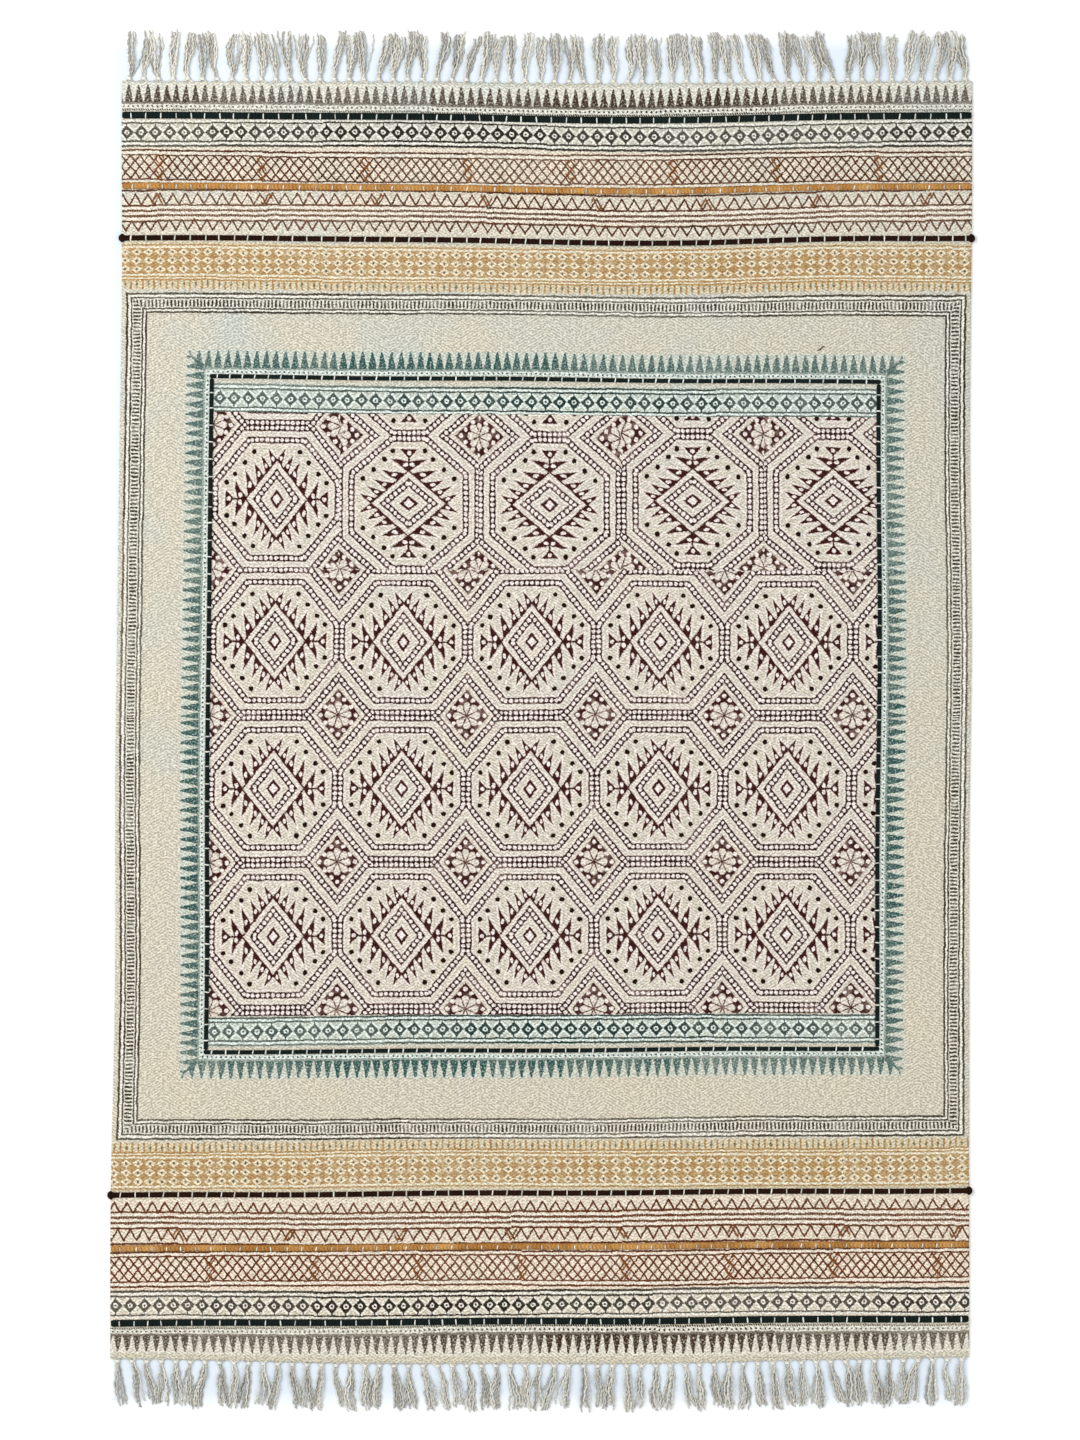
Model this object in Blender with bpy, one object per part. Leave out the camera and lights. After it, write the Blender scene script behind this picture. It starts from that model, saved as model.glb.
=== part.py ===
"""Block-printed cotton dhurrie rug, laid flat: a woven cloth, couched cords and two tasselled ends.

Metres, +Z up. X runs across the rug and Y along it. The origin is on the floor at the rug's centre.
"""

import math
from collections import namedtuple

import bpy

# The cloth: about four feet by six, woven a little wider at its near end.
CLOTH_WIDTH = 1.20
CLOTH_LENGTH = 1.804
CLOTH_THICKNESS = 0.0035
HALF_WIDTH = CLOTH_WIDTH / 2
HALF_LENGTH = CLOTH_LENGTH / 2

# Sewn pieces keep this gap to each other, as meshes that touch would count as one body.
GAP = 0.0003

# The print and the cords sit a little nearer the far end than the cloth's middle.
PRINT_SHIFT = 0.0065

# How the cloth strays from a true rectangle as it lies.
EXTRA_WIDTH = 0.003
NEAR_END_WIDENING = 0.0056
SIDE_DRIFT = 0.0033
SIDE_LEAN = 0.0058
FAR_END_SAG = 0.0068
SAG_PEAK = 0.30
SAG_LEFT_REACH = 1.0
SAG_RIGHT_REACH = 0.52
FAR_TILT = 0.0052
NEAR_END_TILT = 0.0035
NEAR_EDGE_BULGE = 0.0045
EDGE_STRIP = 0.93
SIDE_WAVE = 0.0012
SMALL_WAVE = 0.0006
END_EDGE_POINTS = 25
SIDE_EDGE_POINTS = 37

# Tassels: knotted groups of warp ends, drawn as the teeth of a comb.
TASSEL_LENGTH = 0.067
TASSEL_LENGTH_VARIATION = 0.04
TASSEL_KNOT_HALF_WIDTH = 0.0033
TASSEL_BELLY_HALF_WIDTH = 0.0046
TASSEL_TIP_HALF_WIDTH = 0.0050
TASSEL_BELLY_AT = 0.4
TASSEL_CLEARANCE = 0.0006
TIP_GATHER = 0.62
COMB_SPINE = 0.006
COMB_THICKNESS = 0.004

# Neighbouring tassels lie in clumps: tassels in the clump, and how far its tips swing sideways in mm.
FAR_CLUMPS = (
    (1, 4), (2, 1), (1, 4), (3, -2), (2, 1), (2, -6), (1, -6), (1, -1), (1, 1), (3, 3), (2, 11), (2, 3),
    (1, 12), (1, 12), (2, 13), (2, 4), (1, 7), (1, 3), (1, 1), (2, -6), (1, 1), (1, 0), (2, 2), (1, -5),
    (2, -3), (1, -7), (3, -10), (1, -12), (1, -18), (2, -13), (2, -15), (2, 3), (1, -1), (1, 2), (2, 9),
    (3, 0),
)
NEAR_CLUMPS = (
    (1, 6), (1, 10), (2, 6), (3, -4), (3, -1), (2, -4), (1, 7), (2, 0), (2, 6), (2, -1), (1, 6), (1, 7),
    (1, 12), (2, 10), (1, 7), (2, 3), (4, -3), (1, -5), (1, 2), (2, -1), (2, -1), (2, -1), (2, 8), (2, 5),
    (1, 0), (1, 6), (1, 8), (2, 6), (1, 4), (3, 10), (2, 0), (2, -8), (1, 0), (2, 0),
)

# Cords couched on the cloth. A cord is sewn at each end of the rug, at these places along the print.
Cord = namedtuple("Cord", "far near width height colour end_swell")
END_CORDS = {
    "green": Cord(0.8470, -0.8523, 0.0098, 0.0030, (0.012, 0.020, 0.018), 1.0),
    "mustard": Cord(0.7475, -0.7472, 0.0090, 0.0030, (0.420, 0.210, 0.040), 1.0),
    "brown": Cord(0.6742, -0.6718, 0.0076, 0.0028, (0.060, 0.030, 0.024), 1.5),
}
FIELD_CORD = Cord(0.4752, -0.4706, 0.0060, 0.0028, (0.012, 0.020, 0.018), 1.0)
FIELD_CORD_SIDE = 0.4710
FIELD_CORD_CORNER_GAP = 0.002
CORD_STEP = 0.08
CORD_END_INSET = 0.001
KNOT_LENGTH = 0.009
KNOT_SWELLS_FROM = 0.3
KNOT_SWELLS_TO = 0.7
KNOT_POINTS = (1, 2, -3, -2)

GROUND_COLOUR = (0.62, 0.59, 0.50)
FRINGE_COLOUR = (0.50, 0.47, 0.41)
CLOTH_ROUGHNESS = 0.9


def smooth_step(low, high, value):
    """0 below low, 1 above high, and an even rise between them."""
    share = min(1.0, max(0.0, (value - low) / (high - low)))
    return share * share * (3 - 2 * share)


def laid(across, along):
    """Where a point of the straight cloth lies on the floor, with the rug's own lean, sag and bulge."""
    side = across / HALF_WIDTH
    end = along / HALF_LENGTH
    width = 1 + EXTRA_WIDTH - NEAR_END_WIDENING * end
    x = across * width + SIDE_DRIFT + SIDE_LEAN * end
    x += SIDE_WAVE * side * math.sin(7.0 * end + 1.0) + SMALL_WAVE * math.sin(11.0 * end)

    reach = SAG_LEFT_REACH if side < SAG_PEAK else SAG_RIGHT_REACH
    hollow = math.cos(math.pi / 2 * min(1.0, abs(side - SAG_PEAK) / reach)) ** 2
    outer = smooth_step(0.5, 0.75, end)
    sag = hollow * outer * (1 - 0.5 * smooth_step(EDGE_STRIP, 1.0, end))
    far_tilt = side * smooth_step(0.0, 0.5, end) * (1 - outer)
    near_tilt = side * smooth_step(0.0, 0.6, -end) * (1 - 0.6 * smooth_step(EDGE_STRIP, 1.0, -end))
    bulge = smooth_step(EDGE_STRIP, 1.0, -end) * (2 * math.cos(math.pi / 2 * side) - 1)
    y = along - FAR_END_SAG * sag - FAR_TILT * far_tilt + NEAR_END_TILT * near_tilt
    y += SMALL_WAVE * math.sin(9.0 * side + 4.0 * end) - NEAR_EDGE_BULGE * bulge
    return x, y


def spread(start, stop, count):
    """count evenly spaced values from start to stop, both included."""
    return [start + (stop - start) * index / (count - 1) for index in range(count)]


def material(name, colour, roughness):
    """A plain Principled material."""
    made = bpy.data.materials.new(name)
    made.use_nodes = True
    shader = made.node_tree.nodes["Principled BSDF"]
    shader.inputs["Base Color"].default_value = (*colour, 1.0)
    shader.inputs["Roughness"].default_value = roughness
    shader.inputs["Metallic"].default_value = 0.0
    return made


def add_curve(collection, name, dimensions, points, height, colour):
    """A polyline curve object at a height, with its own material."""
    curve = bpy.data.curves.new(name, "CURVE")
    curve.dimensions = dimensions
    curve.render_resolution_u = 0
    spline = curve.splines.new("POLY")
    spline.points.add(len(points) - 1)
    for slot, (x, y) in zip(spline.points, points):
        slot.co = (x, y, 0.0, 1.0)
    curve.materials.append(material(name + "_material", colour, CLOTH_ROUGHNESS))
    made = bpy.data.objects.new(name, curve)
    made.location.z = height
    collection.objects.link(made)
    return made


def flat_piece(collection, name, outline, thickness, colour):
    """A flat sheet with the given outline, lying on the floor."""
    piece = add_curve(collection, name, "2D", outline, thickness / 2, colour)
    piece.data.fill_mode = "BOTH"
    piece.data.extrude = thickness / 2
    piece.data.splines[0].use_cyclic_u = True
    return piece


def couched_cord(collection, name, route, cord):
    """A flat-oval cord along a route, resting a gap above the cloth. Its ends can swell into knots."""
    height = CLOTH_THICKNESS + GAP + cord.height / 2
    piece = add_curve(collection, name, "3D", route, height, cord.colour)
    piece.data.twist_mode = "Z_UP"
    piece.data.bevel_depth = cord.height / 2
    piece.data.bevel_resolution = 1
    piece.data.extrude = (cord.width - cord.height) / 2
    piece.data.use_fill_caps = True
    points = piece.data.splines[0].points
    for point in points:
        point.tilt = math.pi / 2
    for place in KNOT_POINTS:
        points[place].radius = cord.end_swell
        points[place].co.z = cord.height * (cord.end_swell - 1) / 2
    return piece


def cloth_outline():
    """The cloth's edge, counter-clockwise from its near left corner."""
    across = spread(-HALF_WIDTH, HALF_WIDTH, END_EDGE_POINTS)
    along = spread(-HALF_LENGTH, HALF_LENGTH, SIDE_EDGE_POINTS)
    near = [laid(u, -HALF_LENGTH) for u in across[:-1]]
    right = [laid(HALF_WIDTH, v) for v in along[:-1]]
    far = [laid(u, HALF_LENGTH) for u in reversed(across[1:])]
    left = [laid(-HALF_WIDTH, v) for v in reversed(along[1:])]
    return near + right + far + left


def tassel_places(clumps, end):
    """Each tassel's knot and tip on the floor. end is +1 at the far end of the rug and -1 at the near end."""
    count = sum(tassels for tassels, _ in clumps)
    pitch = CLOTH_WIDTH / count
    places = []
    for tassels, swing in clumps:
        first = len(places)
        middle = first + tassels / 2
        for number in range(first, first + tassels):
            across = (number + 0.5 - count / 2) * pitch
            tip_across = (middle - count / 2 + (number + 0.5 - middle) * TIP_GATHER) * pitch + swing / 1000
            length = TASSEL_LENGTH * (1 + TASSEL_LENGTH_VARIATION * math.sin(2.4 * number))
            knot_x, knot_y = laid(across, end * HALF_LENGTH)
            tip_x = knot_x + tip_across - across
            places.append(((knot_x, knot_y), (tip_x, knot_y + end * length)))
    return places


def comb_outline(clumps, end):
    """A strip along the cloth's end with one tooth for each tassel."""
    places = tassel_places(clumps, end)
    tips = [tip[0] for _, tip in places]
    edge = [laid(u, end * HALF_LENGTH) for u in spread(-HALF_WIDTH, HALF_WIDTH, END_EDGE_POINTS)]
    outline = [(x, y + end * GAP) for x, y in reversed(edge)]
    outline.append((edge[0][0], edge[0][1] + end * COMB_SPINE))
    for number, ((knot_x, knot_y), (tip_x, tip_y)) in enumerate(places):
        room = [abs(tips[near] - tip_x) for near in (number - 1, number + 1) if 0 <= near < len(tips)]
        tip_half = min(TASSEL_TIP_HALF_WIDTH, min(room) / 2 - TASSEL_CLEARANCE)
        belly_half = min(TASSEL_BELLY_HALF_WIDTH, (TASSEL_KNOT_HALF_WIDTH + 3 * tip_half) / 2)
        base_y = knot_y + end * COMB_SPINE
        belly_x = knot_x + (tip_x - knot_x) * TASSEL_BELLY_AT
        belly_y = base_y + (tip_y - base_y) * TASSEL_BELLY_AT
        outline.append((knot_x - TASSEL_KNOT_HALF_WIDTH, base_y))
        outline.append((belly_x - belly_half, belly_y))
        outline.append((tip_x - tip_half, tip_y))
        outline.append((tip_x + tip_half, tip_y))
        outline.append((belly_x + belly_half, belly_y))
        outline.append((knot_x + TASSEL_KNOT_HALF_WIDTH, base_y))
    outline.append((edge[-1][0], edge[-1][1] + end * COMB_SPINE))
    return outline if end > 0 else outline[::-1]


def across_route(along, half_reach):
    """A line of points across the rug at a place along it, with two close points near each end for a knot."""
    inner = half_reach - KNOT_LENGTH
    count = round(2 * inner / CORD_STEP) + 1
    rest = spread(-inner, inner, count)
    knots = [half_reach - KNOT_LENGTH * share for share in (0.0, KNOT_SWELLS_FROM, KNOT_SWELLS_TO)]
    stops = [-knot for knot in knots] + rest + knots[::-1]
    return [laid(u, PRINT_SHIFT + along) for u in stops]


def along_route(across, start, stop):
    """A line of points along the rug, from one place along it to another."""
    count = round((stop - start) / CORD_STEP) + 1
    return [laid(across, PRINT_SHIFT + v) for v in spread(start, stop, count)]


def add_end_cords(collection):
    """Three cords run the cloth's full width near each end. The brown ones end in knots at its edges."""
    for colour_name, cord in END_CORDS.items():
        past_edge = KNOT_LENGTH / 2 if cord.end_swell > 1 else -CORD_END_INSET
        for end_name, along in (("far", cord.far), ("near", cord.near)):
            route = across_route(along, HALF_WIDTH + past_edge)
            couched_cord(collection, f"cord_{colour_name}_{end_name}", route, cord)


def add_field_cords(collection):
    """Four cords frame the printed field. The side runs stop short of the cross runs."""
    cord = FIELD_CORD
    half_reach = FIELD_CORD_SIDE + cord.width / 2
    inset = cord.width / 2 + FIELD_CORD_CORNER_GAP
    stops = spread(-half_reach, half_reach, round(2 * half_reach / CORD_STEP) + 1)
    for name, along in (("far", cord.far), ("near", cord.near)):
        route = [laid(u, PRINT_SHIFT + along) for u in stops]
        couched_cord(collection, f"cord_field_{name}", route, cord)
    for name, side in (("left", -1), ("right", 1)):
        route = along_route(side * FIELD_CORD_SIDE, cord.near + inset, cord.far - inset)
        couched_cord(collection, f"cord_field_{name}", route, cord)


def clear_scene():
    """Removes whatever the scene starts with."""
    for thing in list(bpy.data.objects):
        bpy.data.objects.remove(thing)


def main():
    clear_scene()
    rug = bpy.data.collections.new("dhurrie_rug")
    bpy.context.scene.collection.children.link(rug)
    flat_piece(rug, "rug_cloth", cloth_outline(), CLOTH_THICKNESS, GROUND_COLOUR)
    flat_piece(rug, "fringe_far", comb_outline(FAR_CLUMPS, 1), COMB_THICKNESS, FRINGE_COLOUR)
    flat_piece(rug, "fringe_near", comb_outline(NEAR_CLUMPS, -1), COMB_THICKNESS, FRINGE_COLOUR)
    add_end_cords(rug)
    add_field_cords(rug)


main()
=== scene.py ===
"""The looks of the dhurrie rug: a block-printed cotton cloth, couched cords and yarn tassels.

Shapes are in metres. Prints are drawn in millimetres from the middle of the print, u across and v along.
"""

import math
import random
from collections import namedtuple

import bpy
import numpy as np
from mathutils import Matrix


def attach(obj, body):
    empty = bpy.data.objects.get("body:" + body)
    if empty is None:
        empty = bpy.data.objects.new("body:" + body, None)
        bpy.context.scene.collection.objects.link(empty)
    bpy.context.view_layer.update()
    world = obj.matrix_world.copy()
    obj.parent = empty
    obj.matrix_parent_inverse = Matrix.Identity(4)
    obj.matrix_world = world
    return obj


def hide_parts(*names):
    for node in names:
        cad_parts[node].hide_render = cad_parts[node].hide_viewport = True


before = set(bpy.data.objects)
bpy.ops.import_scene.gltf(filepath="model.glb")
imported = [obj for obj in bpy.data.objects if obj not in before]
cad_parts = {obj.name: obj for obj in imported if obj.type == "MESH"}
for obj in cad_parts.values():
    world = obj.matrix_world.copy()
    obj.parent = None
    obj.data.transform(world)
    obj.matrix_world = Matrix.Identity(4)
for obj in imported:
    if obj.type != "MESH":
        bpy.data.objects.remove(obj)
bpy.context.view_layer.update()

# ------------ sizes, the same as the CAD model's

CLOTH_WIDTH = 1.20
CLOTH_LENGTH = 1.804
CLOTH_THICKNESS = 0.0035
HALF_WIDTH = CLOTH_WIDTH / 2
HALF_LENGTH = CLOTH_LENGTH / 2
PRINT_SHIFT = 0.0065

EXTRA_WIDTH = 0.003
NEAR_END_WIDENING = 0.0056
SIDE_DRIFT = 0.0033
SIDE_LEAN = 0.0058
FAR_END_SAG = 0.0068
SAG_PEAK = 0.30
SAG_LEFT_REACH = 1.0
SAG_RIGHT_REACH = 0.52
FAR_TILT = 0.0052
NEAR_END_TILT = 0.0035
NEAR_EDGE_BULGE = 0.0045
EDGE_STRIP = 0.93
SIDE_WAVE = 0.0012
SMALL_WAVE = 0.0006

TASSEL_LENGTH = 0.067
TASSEL_LENGTH_VARIATION = 0.04
TIP_GATHER = 0.62

# Tassels in each clump along the end, and how far the clump's tips swing sideways in mm.
FAR_CLUMPS = (
    (1, 4), (2, 1), (1, 4), (3, -2), (2, 1), (2, -6), (1, -6), (1, -1), (1, 1), (3, 3), (2, 11), (2, 3),
    (1, 12), (1, 12), (2, 13), (2, 4), (1, 7), (1, 3), (1, 1), (2, -6), (1, 1), (1, 0), (2, 2), (1, -5),
    (2, -3), (1, -7), (3, -10), (1, -12), (1, -18), (2, -13), (2, -15), (2, 3), (1, -1), (1, 2), (2, 9),
    (3, 0),
)
NEAR_CLUMPS = (
    (1, 6), (1, 10), (2, 6), (3, -4), (3, -1), (2, -4), (1, 7), (2, 0), (2, 6), (2, -1), (1, 6), (1, 7),
    (1, 12), (2, 10), (1, 7), (2, 3), (4, -3), (1, -5), (1, 2), (2, -1), (2, -1), (2, -1), (2, 8), (2, 5),
    (1, 0), (1, 6), (1, 8), (2, 6), (1, 4), (3, 10), (2, 0), (2, -8), (1, 0), (2, 0),
)

# Cords couched on the cloth. A cord is sewn at each end of the rug, at these places along the print.
Cord = namedtuple("Cord", "far near width height")
END_CORDS = {
    "green": Cord(0.8470, -0.8523, 0.0098, 0.0030),
    "mustard": Cord(0.7475, -0.7472, 0.0090, 0.0030),
    "brown": Cord(0.6742, -0.6718, 0.0076, 0.0028),
}
FIELD_CORD = Cord(0.4752, -0.4706, 0.0060, 0.0028)
FIELD_CORD_SIDE = 0.4710

# The near end's bands are printed closer to the middle, and stretched beyond the mustard cord.
NEAR_CLOSER = 0.0046
STRETCHED_FROM = 0.7450
NEAR_STRETCH = 1.032


def smooth_step(low, high, value):
    """0 below low, 1 above high, and an even rise between them."""
    share = min(1.0, max(0.0, (value - low) / (high - low)))
    return share * share * (3 - 2 * share)


def laid(across, along):
    """Where a point of the straight cloth lies on the floor, with the rug's own lean, sag and bulge."""
    side = across / HALF_WIDTH
    end = along / HALF_LENGTH
    width = 1 + EXTRA_WIDTH - NEAR_END_WIDENING * end
    x = across * width + SIDE_DRIFT + SIDE_LEAN * end
    x += SIDE_WAVE * side * math.sin(7.0 * end + 1.0) + SMALL_WAVE * math.sin(11.0 * end)

    reach = SAG_LEFT_REACH if side < SAG_PEAK else SAG_RIGHT_REACH
    hollow = math.cos(math.pi / 2 * min(1.0, abs(side - SAG_PEAK) / reach)) ** 2
    outer = smooth_step(0.5, 0.75, end)
    sag = hollow * outer * (1 - 0.5 * smooth_step(EDGE_STRIP, 1.0, end))
    far_tilt = side * smooth_step(0.0, 0.5, end) * (1 - outer)
    near_tilt = side * smooth_step(0.0, 0.6, -end) * (1 - 0.6 * smooth_step(EDGE_STRIP, 1.0, -end))
    bulge = smooth_step(EDGE_STRIP, 1.0, -end) * (2 * math.cos(math.pi / 2 * side) - 1)
    y = along - FAR_END_SAG * sag - FAR_TILT * far_tilt + NEAR_END_TILT * near_tilt
    y += SMALL_WAVE * math.sin(9.0 * side + 4.0 * end) - NEAR_EDGE_BULGE * bulge
    return x, y


def printed(along):
    """The place in the print that a place along the cloth holds, outside the field."""
    if along >= 0:
        return along
    return -min(NEAR_CLOSER - along, STRETCHED_FROM + (-along - STRETCHED_FROM) / NEAR_STRETCH)


def border_lines(distances):
    """Where borders of the print lie along the cloth, at both ends, from their distances in the print."""
    near = []
    for far in distances:
        stretched = STRETCHED_FROM + (far - STRETCHED_FROM) * NEAR_STRETCH
        near.append(-max(far - NEAR_CLOSER, stretched))
    return list(distances) + near


def ripple(across, along):
    """How far the cloth's top stands above its even thickness, in soft waves under a millimetre high."""
    wave = math.sin(19.0 * across + 3.1 * math.sin(4.3 * along)) * math.sin(13.0 * along + 1.7)
    wave += 0.6 * math.sin(41.0 * across - 9.0 * along + 0.8) * math.cos(27.0 * along)
    return 0.0004 * (1 + wave / 1.6)


def top_of_cloth(across, along):
    """The height of the printed face."""
    return CLOTH_THICKNESS - 0.0002 + ripple(across, along)


# ------------ numbers that vary over a surface


def set_input(slot, value):
    """Links a Number to a node's input, or writes a plain value there."""
    if isinstance(value, Number):
        value.tree.links.new(value.socket, slot)
    else:
        slot.default_value = value


class Number:
    """The output of a node. Python's operators on it add Math nodes to its material."""

    def __init__(self, tree, socket):
        self.tree = tree
        self.socket = socket

    def math(self, operation, *others, clamp=False):
        node = self.tree.nodes.new("ShaderNodeMath")
        node.operation = operation
        node.use_clamp = clamp
        for slot, value in zip(node.inputs, (self, *others)):
            set_input(slot, value)
        return Number(self.tree, node.outputs[0])

    def __add__(self, other):
        return self.math("ADD", other)

    __radd__ = __add__

    def __sub__(self, other):
        return self.math("SUBTRACT", other)

    def __neg__(self):
        return self.math("MULTIPLY", -1.0)

    def __rsub__(self, other):
        return -self + other

    def __mul__(self, other):
        return self.math("MULTIPLY", other)

    __rmul__ = __mul__

    def __truediv__(self, other):
        return self.math("DIVIDE", other)

    def __abs__(self):
        return self.math("ABSOLUTE")

    def scaled(self, factor, offset, clamp=False):
        """This times a factor, plus an offset."""
        return self.math("MULTIPLY_ADD", factor, offset, clamp=clamp)

    def sine(self):
        return self.math("SINE")

    def lowest(self, other):
        return self.math("MINIMUM", other)

    def highest(self, other):
        return self.math("MAXIMUM", other)

    def above(self, other):
        """1 where this is greater than the other, and 0 elsewhere."""
        return self.math("GREATER_THAN", other)

    def folded(self, half):
        """The distance to the nearest multiple of twice the half pitch."""
        return self.math("PINGPONG", half)

    def wrapped(self, half):
        """The place inside a repeat that runs from minus half to half."""
        return self.math("WRAP", half, -half)

    def clamped(self):
        return self.math("ADD", 0.0, clamp=True)

    def choose(self, yes, no):
        """One of two values: yes where this is 1, and no where it is 0."""
        node = self.tree.nodes.new("ShaderNodeMix")
        node.data_type = "FLOAT"
        set_input(node.inputs[0], self)
        set_input(node.inputs[2], no)
        set_input(node.inputs[3], yes)
        return Number(self.tree, node.outputs[0])


def length(a, b):
    """The length of the step (a, b)."""
    return (a * a + b * b).math("SQRT")


def inside(distance, soft=0.7):
    """1 where a distance is below zero and 0 where it is above, with a soft edge."""
    return distance.scaled(-1.0 / soft, 0.5, clamp=True)


def line(place, at, width, soft=0.7):
    """A line across a place, in mm."""
    return inside(abs(place - at) - width / 2, soft)


def between(place, low, high, soft=0.7):
    """A band from low to high."""
    return line(place, (low + high) / 2, high - low, soft)


def union(*masks):
    """Wherever any of the masks is."""
    joined = masks[0]
    for mask in masks[1:]:
        joined = joined.highest(mask)
    return joined


def lines(place, *each):
    """Lines across a place, each given as (at, width)."""
    return union(*(line(place, at, width) for at, width in each))


def from_nearest(x, y, places):
    """The distance to the nearest of some places."""
    distances = [length(x - at_x, y - at_y) for at_x, at_y in places]
    nearest_one = distances[0]
    for distance in distances[1:]:
        nearest_one = nearest_one.lowest(distance)
    return nearest_one


# ------------ colours

# A level surface receives this much light, so a dye is this much darker than the colour it is seen as.
LIGHT_LEVEL = 1.19

CREAM = (215, 210, 195)
COOL_CREAM = (204, 208, 200)
WARM_CREAM = (222, 210, 186)
PAPER = (255, 250, 238)
BEAD_PAPER = (252, 239, 232)
HONEY_PAPER = (255, 242, 216)
MIST = (240, 250, 243)
MIST_GROUND = (200, 217, 210)
PEACH = (250, 230, 208)
BUTTER = (226, 208, 172)
FIELD_WARMTH = (226, 212, 199)
OCHRE = (184, 150, 90)
RUST = (172, 106, 48)
OLIVE = (96, 86, 62)
TOOTH_INK = (60, 36, 16)
LATTICE_INK = (54, 26, 8)
BRICK = (116, 52, 12)
TAN = (186, 142, 100)
JOINT_BROWN = (132, 78, 34)
SOOT = (34, 25, 14)
TEAL = (26, 80, 76)
DEEP_TEAL = (8, 46, 40)
MAROON = (54, 10, 10)
UMBER = (36, 12, 8)
BLEED = (164, 108, 98)
LADDER_INK = (48, 36, 18)
YARN = (230, 225, 213)
THREAD = (246, 244, 234)
GREEN_DYE = (9, 19, 18)
MUSTARD_DYE = (246, 190, 116)
BROWN_DYE = (30, 12, 6)


def dye(seen):
    """The surface colour that is seen as the given screen colour."""
    linear = [((part / 255 + 0.055) / 1.055) ** 2.4 for part in seen]
    return (*(part / LIGHT_LEVEL for part in linear), 1.0)


def mixed(tree, share, first, second):
    """A colour between two others. Each is a socket or a screen colour."""
    node = tree.nodes.new("ShaderNodeMix")
    node.data_type = "RGBA"
    set_input(node.inputs[0], share)
    for slot, value in ((node.inputs[6], first), (node.inputs[7], second)):
        if isinstance(value, tuple):
            slot.default_value = dye(value)
        else:
            tree.links.new(value, slot)
    return node.outputs[2]


# ------------ what the materials share


def new_material(name):
    """A new material, its node tree and its shader."""
    material = bpy.data.materials.new(name)
    material.use_nodes = True
    tree = material.node_tree
    return material, tree, tree.nodes["Principled BSDF"]


def first_two(tree, vector):
    """The first two parts of a vector."""
    split = tree.nodes.new("ShaderNodeSeparateXYZ")
    tree.links.new(vector, split.inputs[0])
    return Number(tree, split.outputs[0]), Number(tree, split.outputs[1])


def mapped_places(tree, uv_map):
    """The places that a UV map gives."""
    node = tree.nodes.new("ShaderNodeUVMap")
    node.uv_map = uv_map
    return first_two(tree, node.outputs[0])


def object_places(tree):
    """The places across and along an object, in metres."""
    return first_two(tree, tree.nodes.new("ShaderNodeTexCoord").outputs["Object"])


def point_shade(tree):
    """The shade that a mesh keeps for each of its points."""
    node = tree.nodes.new("ShaderNodeAttribute")
    node.attribute_name = "Shade"
    return Number(tree, node.outputs["Fac"])


def make_matt(shader, roughness, gloss):
    """A dull face, with very little gloss."""
    shader.inputs["Roughness"].default_value = roughness
    shader.inputs["Specular IOR Level"].default_value = gloss


def add_relief(tree, shader, height, strength, distance):
    """Bumps of a height from 0 to 1, as high as a distance in metres."""
    bump = tree.nodes.new("ShaderNodeBump")
    bump.inputs["Strength"].default_value = strength
    bump.inputs["Distance"].default_value = distance
    set_input(bump.inputs["Height"], height)
    tree.links.new(bump.outputs[0], shader.inputs["Normal"])


def add_tint(tree, shader, colour, level):
    """A colour, brighter or darker by a level. The colour is a socket or a screen colour."""
    tint = tree.nodes.new("ShaderNodeVectorMath")
    tint.operation = "SCALE"
    if isinstance(colour, tuple):
        tint.inputs[0].default_value = dye(colour)[:3]
    else:
        tree.links.new(colour, tint.inputs[0])
    set_input(tint.inputs["Scale"], level)
    tree.links.new(tint.outputs[0], shader.inputs["Base Color"])


def noise(tree, a, b, size, seed, detail=2.0):
    """Random patches about a size in mm across, spread from 0 to 1."""
    place = tree.nodes.new("ShaderNodeCombineXYZ")
    set_input(place.inputs[0], a.scaled(1.0 / size[0], seed))
    set_input(place.inputs[1], b.scaled(1.0 / size[1], 0.7 * seed))
    node = tree.nodes.new("ShaderNodeTexNoise")
    node.noise_dimensions = "2D"
    node.inputs["Scale"].default_value = 1.0
    node.inputs["Detail"].default_value = detail
    tree.links.new(place.outputs[0], node.inputs["Vector"])
    return Number(tree, node.outputs[0]).scaled(2.4, -0.7, clamp=True)


# ------------ the printed cloth's materials

TWILL_PITCH = 4.4
TWILL_SLOPE = 0.6
HERRINGBONE_HALF = 44.0
LATTICE_WIDE = 13.2
LATTICE_HIGH = 16.2
LATTICE_SLANT = 10.2
ZIGZAG_HALF = 8.8
ZIGZAG_HIGH = 15.2
ZIGZAG_FROM = 737.2
OCHRE_PLACES = (8.35, 6.1)
STRIP_BEADS = 3.35
BAR_HALF = 2.65


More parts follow.
